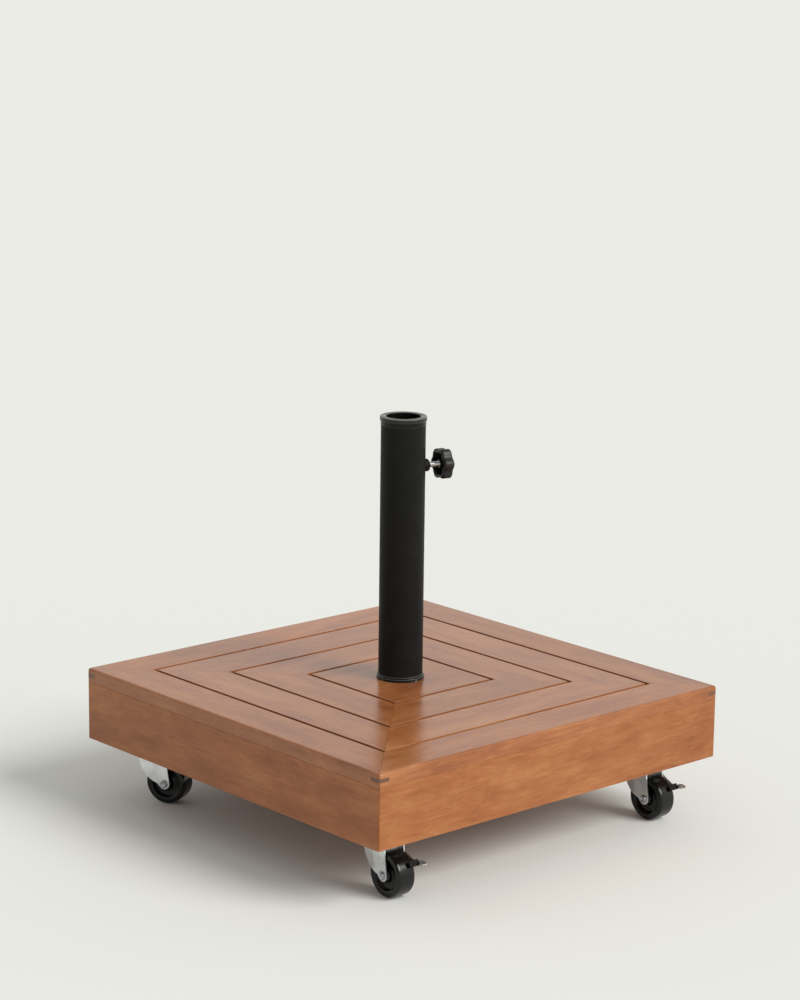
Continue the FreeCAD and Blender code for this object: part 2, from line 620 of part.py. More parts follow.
def brake_lever(corner):
    """Side brake: a pinned plate outside the far leg, with a shoe over the tread and a flat finger tab."""
    body = new_body(f"brake_lever_{corner}")
    face = "(leg_inside + leg_thick + lever_gap)"
    arm = new_sketch(body, "XZ_Plane", ("0", "0", f"-{face}"))
    polygon(arm, [("10.2", "-26.5"), ("10.6", "-23.4"), ("12.6", "-21.4"), ("15.8", "-21.2"),
                  ("21.6", "-25.8"), ("27.2", "-28.4"), ("31.4", "-30.8"), ("37", "-29.6"),
                  ("44", "-29"), ("lever_tip - 3", "-29"), ("lever_tip - 3", "-30.6"),
                  ("44", "-31.6"), ("38", "-34"), ("33", "-35"), ("27.3", "-34.4"),
                  ("20.5", "-30.8"), ("14.5", "-29.6"), ("12", "-28.8")])
    pad(body, arm, "lever_thick", reverse=True)
    tab = new_sketch(body, "XY_Plane", ("0", "0", "-29"))
    polygon(tab, [("42.5", face), ("46", f"{face} - 2.2"), ("lever_tip - 2", f"{face} - 1.6"),
                  ("lever_tip", f"{face} + 0.4"), ("lever_tip", f"{face} + 1.6"),
                  ("lever_tip - 2", f"{face} + 3.4"), ("46", f"{face} + 3.8"),
                  ("42.5", f"{face} + lever_thick")])
    pad(body, tab, "lever_thick", reverse=True)
    shoe = new_sketch(body, "XZ_Plane", ("0", "0", f"-{face} - lever_thick"))
    inner = "(wheel_radius + shoe_gap)"
    outer = f"({inner} + lever_thick)"
    rim = [(inner, 26), (inner, 40), (outer, 40), (outer, 26)]
    polygon(shoe, [(f"trail + {reach} * cos({angle})", f"-axle_drop + {reach} * sin({angle})")
                   for reach, angle in rim])
    pad(body, shoe, f"{face} + lever_thick - shoe_reach")
    pin = new_sketch(body, "XZ_Plane", ("0", "0", f"-{face} - lever_thick"))
    circle(pin, "lever_pivot_x", "-lever_pivot_drop", "lever_pin")
    pad(body, pin, "lever_thick + lever_gap + leg_thick + 0.2")
    head = new_sketch(body, "XZ_Plane", ("0", "0", f"-{face} - lever_thick"))
    circle(head, "lever_pivot_x", "-lever_pivot_drop", "lever_pin + 1.6")
    pad(body, head, "1.1", reverse=True)
    at_caster(body, corner)


def swivel_balls(corner):
    """The twelve balls of one swivel race."""
    balls = []
    for index in range(12):
        ball = doc.addObject("Part::Sphere", "ball")
        ball.setExpression("Radius", cell("ball_radius"))
        x_sign, y_sign = CASTERS[corner]
        turn = 30 * index
        place(ball, (f"{x_sign}caster_at + ball_circle * cos({turn})",
                     f"{y_sign}caster_at + ball_circle * sin({turn})",
                     "box_bottom - (race_drop + crown_top) / 2"))
        balls.append(ball)
    return balls


def kingpin(corner):
    """The rivet that holds the fork to the plate."""
    pin = doc.addObject("PartDesign::Body", "kingpin")
    under = "-(crown_top + crown_thick + 0.1)"
    revolve(pin, "XZ_Plane",
            [("0", "-0.1"), ("pin_radius + 1.9", "-0.1"), ("pin_radius + 1.9", "-1.15"),
             ("pin_radius", "-1.15"), ("pin_radius", under), ("pin_radius + 2.4", under),
             ("pin_radius + 2", f"{under} - 1"), ("pin_radius", f"{under} - 1.6"),
             ("0", f"{under} - 1.6")], "V_Axis")
    at_caster(pin, corner)
    return pin


def plate_screws(corner):
    """Four screws that hold a caster's plate to the bottom panel."""
    screws = []
    x_sign, y_sign = CASTERS[corner]
    for x, y in PLATE_SPOTS:
        screw = wood_screw("caster_screw", False)
        place(screw, (f"{x_sign}caster_at + {x}", f"{y_sign}caster_at + {y}",
                      "box_bottom - plate_thick - 0.02"))
        screws.append(screw)
    return screws


all_balls = []
all_kingpins = []
all_plate_screws = []
for corner in CASTERS:
    caster_plate(corner)
    fork(corner)
    wheel(corner)
    axle(corner)
    brake_lever(corner)
    all_balls += swivel_balls(corner)
    all_kingpins.append(kingpin(corner))
    all_plate_screws += plate_screws(corner)
group("swivel_balls", all_balls)
group("caster_kingpins", all_kingpins)
group("caster_screws", all_plate_screws)

# ---------------------------------------------------------------- checks and files

doc.recompute()
for item in doc.Objects:
    if "Invalid" in item.State or "Error" in item.State:
        raise RuntimeError(f"{item.Name} failed: {item.State}")
for piece in pieces:
    if piece.Shape.isNull() or not piece.Shape.isValid():
        raise RuntimeError(f"{piece.Label} has no valid shape")

os.makedirs(PARTS_FOLDER, exist_ok=True)
for piece in pieces:
    piece.Shape.exportStep(os.path.join(PARTS_FOLDER, f"{piece.Label}.step"))
    solids = len(piece.Shape.Solids)
    print(f"{piece.Label:24s} {solids:3d} solids {piece.Shape.Volume / 1000:9.2f} cm3")
print(len(pieces), "nodes")
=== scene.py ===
# %% [markdown]
# # A wheeled patio umbrella base
# The object is a square wooden box on four braked casters. A black steel tube stands in its middle
# and takes the lower end of an umbrella pole. The exact frame of the object, with every size and
# every joint, comes ready-made. This lesson dresses it: each cell takes one piece or one finish,
# says how the real one is made, and then makes it.

# %% Load the frame
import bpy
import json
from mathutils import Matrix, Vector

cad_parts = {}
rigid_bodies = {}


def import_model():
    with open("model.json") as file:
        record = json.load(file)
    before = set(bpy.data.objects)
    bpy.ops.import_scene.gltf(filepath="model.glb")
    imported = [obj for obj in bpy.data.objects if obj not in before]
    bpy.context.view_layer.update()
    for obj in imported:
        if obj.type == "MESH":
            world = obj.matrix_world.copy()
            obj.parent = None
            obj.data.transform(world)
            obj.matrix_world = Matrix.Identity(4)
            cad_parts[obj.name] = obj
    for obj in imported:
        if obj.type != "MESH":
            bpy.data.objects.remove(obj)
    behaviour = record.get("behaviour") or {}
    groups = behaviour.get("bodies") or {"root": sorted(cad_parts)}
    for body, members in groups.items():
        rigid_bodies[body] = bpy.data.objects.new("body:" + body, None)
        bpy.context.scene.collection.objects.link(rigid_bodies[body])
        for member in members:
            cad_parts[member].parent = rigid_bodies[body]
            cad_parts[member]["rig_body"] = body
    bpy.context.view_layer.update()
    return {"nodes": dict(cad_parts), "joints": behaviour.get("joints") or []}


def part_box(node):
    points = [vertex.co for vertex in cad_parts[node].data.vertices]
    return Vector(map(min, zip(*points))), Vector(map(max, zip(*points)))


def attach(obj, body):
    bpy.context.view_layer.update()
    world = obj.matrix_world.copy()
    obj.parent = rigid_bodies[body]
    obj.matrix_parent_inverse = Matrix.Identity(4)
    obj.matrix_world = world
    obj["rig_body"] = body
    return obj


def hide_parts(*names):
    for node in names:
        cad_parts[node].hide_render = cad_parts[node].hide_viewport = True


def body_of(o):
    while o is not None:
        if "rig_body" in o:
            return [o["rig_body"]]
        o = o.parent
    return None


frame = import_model()

import json
import math
import random
import bmesh
import bpy
from mathutils import Matrix, Vector

MM = 0.001
nodes = frame["nodes"]
joints = {joint["name"]: joint for joint in frame["joints"]}
print("nodes:", len(nodes), "joints:", len(joints))

# %% [markdown]
# ## Where the camera stands
# The camera looks down a little at the near corner, from far away through a long lens, so the box
# keeps its square look. It could be placed by hand, but an azimuth, an elevation and a distance
# are easier to read and to change. The aim is a point above the middle of the deck.

# %% Camera
CAMERA_AZIMUTH = math.radians(-41.76)
CAMERA_ELEVATION = math.radians(12.71)
CAMERA_ROLL = math.radians(0.71)
CAMERA_DISTANCE = 3.328
CAMERA_LENS = 104.7
AIM_ABOVE_DECK = 0.202
AIM_ASIDE = -0.0028

DECK_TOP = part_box("centre_panel")[1].z


def camera_matrix():
    """The camera's place and turn, from its angles."""
    back = Vector((math.sin(CAMERA_AZIMUTH) * math.cos(CAMERA_ELEVATION),
                   -math.cos(CAMERA_AZIMUTH) * math.cos(CAMERA_ELEVATION),
                   math.sin(CAMERA_ELEVATION)))
    right = Vector((math.cos(CAMERA_AZIMUTH), math.sin(CAMERA_AZIMUTH), 0))
    up = back.cross(right)
    aim = Vector((0, 0, DECK_TOP)) + right * AIM_ASIDE + up * AIM_ABOVE_DECK
    rolled_right = math.cos(CAMERA_ROLL) * right + math.sin(CAMERA_ROLL) * up
    turn = Matrix((rolled_right, back.cross(rolled_right), back)).transposed().to_4x4()
    return Matrix.Translation(aim + back * CAMERA_DISTANCE) @ turn


camera_data = bpy.data.cameras.new("camera")
camera_data.lens = CAMERA_LENS
camera_data.clip_end = 200
camera = bpy.data.objects.new("camera", camera_data)
camera.matrix_world = camera_matrix()
bpy.context.scene.collection.objects.link(camera)
bpy.context.scene.camera = camera
print("camera at", [round(value, 3) for value in camera.location])

# %% [markdown]
# ## Building a finish from nodes
# Every finish here is procedural: noise is computed at each point of the surface, so it needs no
# picture and no unwrapping. A small helper class keeps the code short. It starts a Principled
# shader, gives stretched noise in the object's own space, and joins the nodes.

# %% Material helper
class Finish:
    """One Principled material, with helpers that add procedural detail to it."""

    def __init__(self, name, colour, roughness, metallic=0.0):
        self.material = bpy.data.materials.new(name)
        self.material.use_nodes = True
        self.tree = self.material.node_tree
        self.shader = self.tree.nodes["Principled BSDF"]
        self.shader.inputs["Base Color"].default_value = (*colour, 1)
        self.shader.inputs["Roughness"].default_value = roughness
        self.shader.inputs["Metallic"].default_value = metallic
        self.coords = self.tree.nodes.new("ShaderNodeTexCoord").outputs["Object"]

    def node(self, kind, **settings):
        made = self.tree.nodes.new("ShaderNode" + kind)
        for key, value in settings.items():
            setattr(made, key, value)
        return made

    def link(self, source, target):
        self.tree.links.new(source, target)

    def mapped(self, source, scale=(1, 1, 1), shift=(0, 0, 0), turn=0.0):
        """The coordinates scaled, turned about Z and shifted."""
        mapping = self.node("Mapping")
        mapping.inputs["Scale"].default_value = scale
        mapping.inputs["Location"].default_value = shift
        mapping.inputs["Rotation"].default_value = (0, 0, turn)
        self.link(source, mapping.inputs["Vector"])
        return mapping.outputs["Vector"]

    def noise(self, source, scale, detail=3.0, rough=0.5, distort=0.0):
        """Fractal noise, from 0 to 1, with a scale for each axis."""
        texture = self.node("TexNoise")
        texture.inputs["Scale"].default_value = 1.0
        texture.inputs["Detail"].default_value = detail
        texture.inputs["Roughness"].default_value = rough
        texture.inputs["Distortion"].default_value = distort
        self.link(self.mapped(source, scale), texture.inputs["Vector"])
        return texture.outputs["Fac"]

    def math(self, operation, first, second=None):
        made = self.node("Math", operation=operation)
        for socket, value in zip(made.inputs, (first, second)):
            if isinstance(value, (int, float)):
                socket.default_value = value
            elif value is not None:
                self.link(value, socket)
        return made.outputs[0]

    def spread(self, value, low, high, new_low, new_high):
        """Map a range onto another one, and clamp it."""
        made = self.node("MapRange", clamp=True)
        self.link(value, made.inputs["Value"])
        for key, number in zip(("From Min", "From Max", "To Min", "To Max"),
                               (low, high, new_low, new_high)):
            made.inputs[key].default_value = number
        return made.outputs["Result"]

    def ramp(self, value, stops):
        """A colour ramp with stops of (place, colour)."""
        made = self.node("ValToRGB")
        made.color_ramp.elements[0].position = stops[0][0]
        made.color_ramp.elements[0].color = (*stops[0][1], 1)
        made.color_ramp.elements[1].position = stops[-1][0]
        made.color_ramp.elements[1].color = (*stops[-1][1], 1)
        for place, colour in stops[1:-1]:
            made.color_ramp.elements.new(place).color = (*colour, 1)
        self.link(value, made.inputs["Fac"])
        return made.outputs["Color"]

    def mix(self, share, first, second, blend="MIX"):
        """Blend two colours; share is a number or a socket."""
        made = self.node("Mix", data_type="RGBA", blend_type=blend)
        for socket, value in zip((made.inputs[0], made.inputs[6], made.inputs[7]),
                                 (share, first, second)):
            if isinstance(value, (int, float)):
                socket.default_value = value
            elif isinstance(value, tuple):
                socket.default_value = (*value, 1)
            else:
                self.link(value, socket)
        return made.outputs[2]

    def bump(self, height, depth, strength=1.0, below=None):
        """A bump of a depth in metres, on top of another bump if one is given."""
        made = self.node("Bump")
        made.inputs["Strength"].default_value = strength
        made.inputs["Distance"].default_value = depth
        self.link(height, made.inputs["Height"])
        if below is not None:
            self.link(below, made.inputs["Normal"])
        self.link(made.outputs["Normal"], self.shader.inputs["Normal"])
        return made.outputs["Normal"]

    def colour(self, socket):
        self.link(socket, self.shader.inputs["Base Color"])

    def roughness(self, socket):
        self.link(socket, self.shader.inputs["Roughness"])


def wear(obj, finish):
    """Put a finish on an object, in place of what it had."""
    obj.data.materials.clear()
    obj.data.materials.append(finish.material)


print("helper ready:", Finish.__name__)

# %% [markdown]
# ## Stained hardwood
# The box is a dense tropical hardwood, stained red-brown and lacquered. Real timber shows several
# things at once: growth rings that wander along the board, broad bands and narrow streaks, fine
# fibres, short dark pores, and slow patches where the stain took more or less. Each comes from its
# own noise, stretched along the grain.
# A satin lacquer lies on top, so the shader stays smooth enough to mirror the tube at a low angle.

# %% Wood finish
STAIN_LIGHT = (0.410, 0.166, 0.058)
STAIN_MIDDLE = (0.340, 0.118, 0.038)
STAIN_DARK = (0.245, 0.076, 0.023)
random.seed(11)


def wood(name, grain_turn, tone=1.0, gloss=0.22, stains=(STAIN_DARK, STAIN_MIDDLE, STAIN_LIGHT),
         lacquer=0.6):
    """Stained wood with its grain along X, turned about Z; tone lightens it, lacquer mirrors more."""
    shift = tuple(random.uniform(-20, 20) for _ in range(3))
    dark, middle, light = [tuple(tone * part for part in stain) for stain in stains]
    finish = Finish(name, middle, gloss)
    board = finish.mapped(finish.coords, turn=grain_turn, shift=shift)
    field = finish.noise(board, (1.6, 11, 11), detail=2.5, rough=0.45, distort=0.25)
    rings = finish.math("SINE", finish.math("MULTIPLY", field, 40.0))
    bands = finish.noise(board, (6, 34, 34), detail=4, rough=0.6, distort=0.4)
    streaks = finish.noise(board, (34, 300, 300), detail=3, rough=0.6, distort=0.15)
    fibres = finish.noise(board, (45, 620, 620), detail=3, rough=0.6)
    pores = finish.noise(board, (95, 1900, 1900), detail=2, rough=0.5)
    patches = finish.noise(board, (16, 30, 30), detail=4, rough=0.65)
    tone_field = finish.math("ADD", finish.math("MULTIPLY", bands, 0.40),
                             finish.math("MULTIPLY", patches, 0.36))
    tone_field = finish.math("ADD", tone_field, finish.math("MULTIPLY", streaks, 0.24))
    colour = finish.ramp(tone_field, [(0.38, dark), (0.5, middle), (0.62, light)])
    ring_share = finish.spread(rings, -0.2, 1.0, 0.0, 0.10)
    colour = finish.mix(ring_share, colour, tuple(0.75 * part for part in dark))
    fibre_share = finish.spread(fibres, 0.45, 0.66, 0.0, 0.22)
    colour = finish.mix(fibre_share, colour, tuple(0.85 * part for part in dark))
    pore_share = finish.spread(pores, 0.60, 0.72, 0.0, 0.42)
    colour = finish.mix(pore_share, colour, tuple(0.5 * part for part in dark))
    finish.colour(colour)
    finish.roughness(finish.spread(patches, 0.3, 0.7, gloss - 0.035, gloss + 0.05))
    pits = finish.bump(finish.spread(pores, 0.58, 0.74, 1.0, 0.0), 0.00005, 0.35)
    finish.bump(bands, 0.0002, 0.3, below=pits)
    finish.shader.inputs["IOR"].default_value = 1.5
    finish.shader.inputs["Specular IOR Level"].default_value = lacquer
    return finish


print("stains, dark to light:", STAIN_DARK, STAIN_MIDDLE, STAIN_LIGHT)

# %% [markdown]
# ## Deck boards and aprons
# Each ring of the deck is four boards mitred at the corners, so the grain turns with the ring.
# Boards come from different planks, so each one gets its own shift of the noise and its own tone.
# One shared material would be shorter, but the grain would then run straight across the mitres. The
# deck has more lacquer than the aprons, because it is the face that gets wet. The outer boards show
# an edge beside the aprons, so they lie between the two.

# %% Dress the boards
ALONG_X = 0.0
ALONG_Y = math.pi / 2
SIDE_TURNS = {"front": ALONG_X, "back": ALONG_X, "left": ALONG_Y, "right": ALONG_Y}
DECK_LACQUER = 0.6
LACQUER = {"apron": 0.3, "outer_board": 0.48}


def box_wood():
    """Give every board of the deck and every apron its own piece of wood."""
    dressed = 0
    for name in sorted(nodes):
        family, _, side = name.rpartition("_")
        if family.endswith("board") or family == "apron":
            tone = random.uniform(0.96, 1.10)
            lacquer = LACQUER.get(family, DECK_LACQUER)
            wear(nodes[name], wood(name, SIDE_TURNS[side], tone, lacquer=lacquer))
            dressed += 1
    wear(nodes["centre_panel"], wood("centre_panel", ALONG_X))
    return dressed + 1


print("boards dressed:", box_wood())

# %% [markdown]
# ## Corner keys and hidden wood
# A thin key of darker wood is glued into a slot across each mitre of the outer ring, and locks it.
# It is the same kind of wood shader with darker stains. The battens under the mitres are bare planed
# wood, and the bottom panel is stained plywood, duller than the deck, so they only need other values.

# %% Keys and hidden wood
KEY_STAINS = ((0.10, 0.040, 0.021), (0.135, 0.052, 0.028), (0.18, 0.070, 0.036))
RAW_STAINS = ((0.30, 0.18, 0.09), (0.42, 0.27, 0.15), (0.52, 0.36, 0.21))
DIAGONAL = math.pi / 4
wear(nodes["corner_keys"], wood("corner_keys", DIAGONAL, 1.0, 0.3, KEY_STAINS))
for name in sorted(nodes):
    if name.startswith("batten"):
        side = name.removeprefix("batten_")
        slant = DIAGONAL if side in ("front", "back") else -DIAGONAL
        wear(nodes[name], wood(name, slant, 1.0, 0.55, RAW_STAINS))
wear(nodes["bottom_panel"], wood("bottom_panel", ALONG_X, 0.8, 0.45))
print("keys, battens and bottom panel dressed")

# %% [markdown]
# ## Concrete ballast
# Four cast blocks make the base heavy. Concrete is grey with slow stains, fine sand and small air
# holes. Voronoi cells would give the holes too, but a thresholded noise is softer and cheaper.

# %% Concrete
def concrete():
    """Grey cast concrete with stains, sand and small holes."""
    finish = Finish("concrete", (0.42, 0.41, 0.39), 0.9)
    stains = finish.noise(finish.coords, (9, 9, 9), detail=5, rough=0.6)
    sand = finish.noise(finish.coords, (900, 900, 900), detail=2)
    holes = finish.noise(finish.coords, (170, 170, 170), detail=1)
    colour = finish.ramp(stains, [(0.35, (0.30, 0.29, 0.275)), (0.65, (0.47, 0.46, 0.435))])
    # Painted shade: the air holes are coloured near black for the shade inside them.
    hole_shade_share = finish.spread(holes, 0.68, 0.74, 0.0, 0.6)
    finish.colour(finish.mix(hole_shade_share, colour, (0.10, 0.095, 0.09)))
    pits = finish.bump(finish.spread(holes, 0.66, 0.76, 1.0, 0.0), 0.001, 0.6)
    finish.bump(sand, 0.0003, 0.4, below=pits)
    return finish


concrete_finish = concrete()
ballast = [name for name in sorted(nodes) if name.startswith("ballast")]
for name in ballast:
    wear(nodes[name], concrete_finish)
print("blocks dressed:", len(ballast))

# %% [markdown]
# ## Powder coat, moulded plastic and rubber
# Powder coat is baked paint: nearly matt, with an orange-peel skin less than a millimetre across.
# Moulded plastic is smoother and has a finer grain. On the cap and collar, a painted highlight pales
# the sharp convex edges, standing in for the bright rim that light draws there; the pointiness of the
# mesh finds those edges. The wheels are hard, polished rubber and the brake shoes a soft, matt one.
# One helper makes them all, since they differ only in values.

# %% Paint and plastic
# Colour of the painted highlight on sharp plastic edges.
EDGE_HIGHLIGHT_PAINT = (0.55, 0.53, 0.48)


def coated(name, colour, roughness, grain, depth, sheen=0.4, dust=0.0, painted_edge_highlight=0.0):
    """A dark skin: grain is bumps per metre, dust greys it in patches, and the last value paints a
    pale highlight on its sharp edges.
    """
    finish = Finish(name, colour, roughness)
    skin = finish.noise(finish.coords, (grain, grain, grain), detail=2, rough=0.55)
    cloud = finish.noise(finish.coords, (35, 35, 35), detail=4, rough=0.6)
    finish.roughness(finish.spread(cloud, 0.3, 0.7, roughness - 0.06, roughness + 0.07))
    paler = tuple(part * 1.35 + dust for part in colour)
    skin_colour = finish.mix(finish.spread(cloud, 0.45, 0.75, 0.0, 1.0), colour, paler)
    # Painted highlight: sharp convex edges, found by pointiness, are mixed towards a pale grey in
    # place of a rim of light.
    if painted_edge_highlight:
        edges = finish.node("NewGeometry").outputs["Pointiness"]
        edge_highlight_share = finish.spread(edges, 0.512, 0.54, 0.0, painted_edge_highlight)
        skin_colour = finish.mix(edge_highlight_share, skin_colour, EDGE_HIGHLIGHT_PAINT)
    finish.colour(skin_colour)
    finish.bump(skin, depth, 0.5)
    finish.shader.inputs["Specular IOR Level"].default_value = sheen
    return finish


powder_coat = coated("powder_coat", (0.0105, 0.0103, 0.0096), 0.50, 1400, 0.00004, 0.07)
# The cap's finish paints a pale highlight on the sharp edges of both the cap and the collar.
cap_plastic = coated("cap_plastic", (0.0050, 0.0050, 0.0046), 0.24, 2600, 0.00002, 0.18, painted_edge_highlight=0.4)
knob_plastic = coated("knob_plastic", (0.011, 0.0105, 0.010), 0.42, 2600, 0.00005, 0.32, 0.001)
wheel_rubber = coated("wheel_rubber", (0.0030, 0.0030, 0.0028), 0.19, 1100, 0.00003, 0.36, 0.001)
shoe_rubber = coated("shoe_rubber", (0.0060, 0.0058, 0.0055), 0.60, 900, 0.00005, 0.12, 0.001)
print("dark finishes:", powder_coat.material.name, cap_plastic.material.name,
      knob_plastic.material.name, wheel_rubber.material.name, shoe_rubber.material.name)

# %% [markdown]
# ## Plated steel
# Zinc plate is a bright, slightly blue metal with cloudy patches. The axles and the stud are turned
# bar, smoother than sheet. Fine scratches run one way, so the highlights are streaky, not even. The
# screws' yellower plate and the brass pad come from the same helper, with other colours.

# %% Metals
def plated(name, colour, roughness, cloud_size=60.0, scratch=0.12):
    """Plated steel with cloudy patches and fine scratches."""
    finish = Finish(name, colour, roughness, 1.0)
    cloud = finish.noise(finish.coords, (cloud_size,) * 3, detail=4, rough=0.65)
    fine = finish.noise(finish.coords, (500, 3500, 900), detail=2)
    darker = tuple(part * 0.80 for part in colour)
    finish.colour(finish.ramp(cloud, [(0.32, darker), (0.62, colour)]))
    rough = finish.math("ADD", finish.spread(cloud, 0.3, 0.7, roughness - 0.07, roughness + 0.08),
                        finish.spread(fine, 0.55, 0.75, 0.0, scratch))
    finish.roughness(rough)
    finish.bump(fine, 0.00002, 0.3)
    return finish


zinc = plated("zinc_plate", (0.84, 0.86, 0.865), 0.32)
bright_steel = plated("bright_steel", (0.78, 0.80, 0.82), 0.26, 120.0, 0.08)
axle_steel = plated("axle_steel", (0.50, 0.53, 0.56), 0.24, 120.0, 0.06)
screw_steel = plated("screw_steel", (0.62, 0.60, 0.52), 0.32)
brass = plated("brass", (0.72, 0.52, 0.22), 0.3)

CAD_FINISHES = {
    "pole_tube": powder_coat, "foot_plate": powder_coat, "weld_nut": powder_coat,
    "collar_ring": cap_plastic, "reducer_cap": cap_plastic, "clamp_knob": knob_plastic,
    "clamp_stud": bright_steel, "pressure_pad": brass, "foot_bolts": screw_steel,
    "deck_screws": screw_steel, "caster_screws": screw_steel, "caster_kingpins": bright_steel,
    "swivel_balls": bright_steel,
}
for name, finish in CAD_FINISHES.items():
    wear(nodes[name], finish)
CASTER_FINISHES = {
    "caster_plate": zinc, "caster_fork": zinc, "caster_wheel": wheel_rubber,
    "caster_axle": axle_steel, "brake_lever": zinc,
}
CORNERS = ("front", "right", "back", "left")
for family, finish in CASTER_FINISHES.items():
    for corner in CORNERS:
        wear(nodes[f"{family}_{corner}"], finish)
print("fittings dressed:", len(CAD_FINISHES) + len(CASTER_FINISHES) * len(CORNERS))

# %% [markdown]
# ## Turned and stamped pieces
# Most fittings on the base are either turned round an axis (wheels, cap, collar, knob) or stamped
# from sheet (brake arms). Three helpers make such shapes: one rounds the corners of an outline, one
# turns it round an axis, and one cuts it from sheet. Three more give a place for a shape, make a
# piece of it, and soften the edges of a ready-made node. Primitive cylinders would leave every edge
# knife sharp, and real moulded or pressed edges are never sharp.

# %% Mesh helpers
MERGE_DISTANCE = 2e-6
MOST_OF_A_SIDE = 0.48


def eased(corners, steps=5):
    """Round a closed outline. Each corner is (x, y, reach): the curve starts that far from it."""
    outline = []
    for index, (x, y, reach) in enumerate(corners):
        here = Vector((x, y))
        before = Vector(corners[index - 1][:2]) - here
        after = Vector(corners[(index + 1) % len(corners)][:2]) - here
        start = here + before.normalized() * min(reach, MOST_OF_A_SIDE * before.length)
        end = here + after.normalized() * min(reach, MOST_OF_A_SIDE * after.length)
        if reach == 0:
            outline.append(here)
            continue
        for step in range(steps + 1):
            share = step / steps
            outline.append((1 - share) ** 2 * start + 2 * share * (1 - share) * here
                           + share ** 2 * end)
    return outline


def axis_frame(origin, axis, side):
    """A place whose Z runs along axis and whose X lies near side; lengths in it are millimetres."""
    along = Vector(axis).normalized()
    across = (Vector(side) - along * along.dot(Vector(side))).normalized()
    turn = Matrix((across, along.cross(across), along)).transposed().to_4x4()
    return Matrix.Translation(Vector(origin)) @ turn @ Matrix.Scale(MM, 4)


def settle(name, shape, finish, body, stands_for=(), edge=0.0, crease=32):
    """Turn a bmesh into a piece that rides on a body and stands for CAD nodes."""
    bmesh.ops.remove_doubles(shape, verts=shape.verts, dist=MERGE_DISTANCE)
    bmesh.ops.recalc_face_normals(shape, faces=shape.faces)
    mesh = bpy.data.meshes.new(name)
    shape.to_mesh(mesh)
    shape.free()
    mesh.shade_smooth()
    mesh.set_sharp_from_angle(angle=math.radians(crease))
    piece = bpy.data.objects.new(name, mesh)
    bpy.context.scene.collection.objects.link(piece)
    if edge:
        bevel = piece.modifiers.new("softened edges", "BEVEL")
        bevel.width = edge * MM
        bevel.segments = 2
        bevel.limit_method = "ANGLE"
        bevel.angle_limit = math.radians(crease)
        bevel.harden_normals = True
    wear(piece, finish)
    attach(piece, body)
    if stands_for:
        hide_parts(*stands_for)
    return piece


def turned(outline, place, steps=96, swell=None):
    """Turn a closed outline of (radius, height) about Z; swell(angle, radius) may change a radius."""
    shape = bmesh.new()
    rings = []
    for step in range(steps):
        angle = 2 * math.pi * step / steps
        ring = []
        for radius, height in outline:
            reach = swell(angle, radius) if swell else radius
            ring.append(shape.verts.new(place @ Vector((reach * math.cos(angle),
                                                        reach * math.sin(angle), height))))
        rings.append(ring)
    for index, ring in enumerate(rings):
        following = rings[(index + 1) % steps]
        for low in range(len(outline)):
            high = (low + 1) % len(outline)
            shape.faces.new((ring[low], following[low], following[high], ring[high]))
    bmesh.ops.dissolve_degenerate(shape, edges=shape.edges, dist=1e-7)
    return shape


def stamped(outline, place, low, high):
    """Cut an outline of (x, y) from sheet that reaches from low to high along Z."""
    shape = bmesh.new()
    under = [shape.verts.new(place @ Vector((x, y, low))) for x, y in outline]
    over = [shape.verts.new(place @ Vector((x, y, high))) for x, y in outline]
    shape.faces.new(under[::-1])
    shape.faces.new(over)
    for index in range(len(outline)):
        after = (index + 1) % len(outline)
        shape.faces.new((under[index], under[after], over[after], over[index]))
    return shape


def softened(name, finish, slot, edge):
    """A copy of a CAD node with its flat faces made whole and its edges rounded."""
    shape = bmesh.new()
    shape.from_mesh(nodes[name].data)
    bmesh.ops.remove_doubles(shape, verts=shape.verts, dist=MERGE_DISTANCE)
    bmesh.ops.dissolve_limit(shape, angle_limit=math.radians(0.6), verts=shape.verts,
                             edges=shape.edges)
    return settle(f"{name}_soft", shape, finish, body_of(nodes[name])[0], [name], edge)


print("mesh helpers:", eased.__name__, turned.__name__, stamped.__name__, softened.__name__)

# %% [markdown]
# ## Caster places
# A caster swivels about an upright pin, and its wheel hangs behind the pin by the trail. The joints
# give both points, so each caster's place is found from them: Z up, X along the trail, and the axle
# along Y. A second place, for things turned round the axle, has Z along the axle.

# %% Caster places
BOX_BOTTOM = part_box("apron_front")[0].z


def caster_place(corner):
    """The place at the swivel pin, on the box's underside, with X along the trail."""
    pin = Vector(joints[f"swivel_{corner}"]["pos_m"])
    axle = Vector(joints[f"wheel_spin_{corner}"]["pos_m"])
    trail = Vector((axle.x - pin.x, axle.y - pin.y, 0))
    return axis_frame((pin.x, pin.y, BOX_BOTTOM), (0, 0, 1), trail)


def axle_place(corner):
    """The place at the wheel's middle, with Z along the axle and X along the trail."""
    spin = joints[f"wheel_spin_{corner}"]
    trail = Vector(spin["pos_m"]) - Vector(joints[f"swivel_{corner}"]["pos_m"])
    return axis_frame(spin["pos_m"], spin["axis"], (trail.x, trail.y, 0))


front_pin = caster_place("front").inverted() @ Vector(joints["wheel_spin_front"]["pos_m"])
print("axle behind the pin (mm):", [round(value, 1) for value in front_pin])

# %% [markdown]
# ## Wheels
# Each wheel is one moulding of hard black rubber: a long hub, a dished side, a rounded shoulder and
# a tread that is slightly crowned. It is turned from one outline, so the shoulder can be a true curve
# that catches a soft highlight.

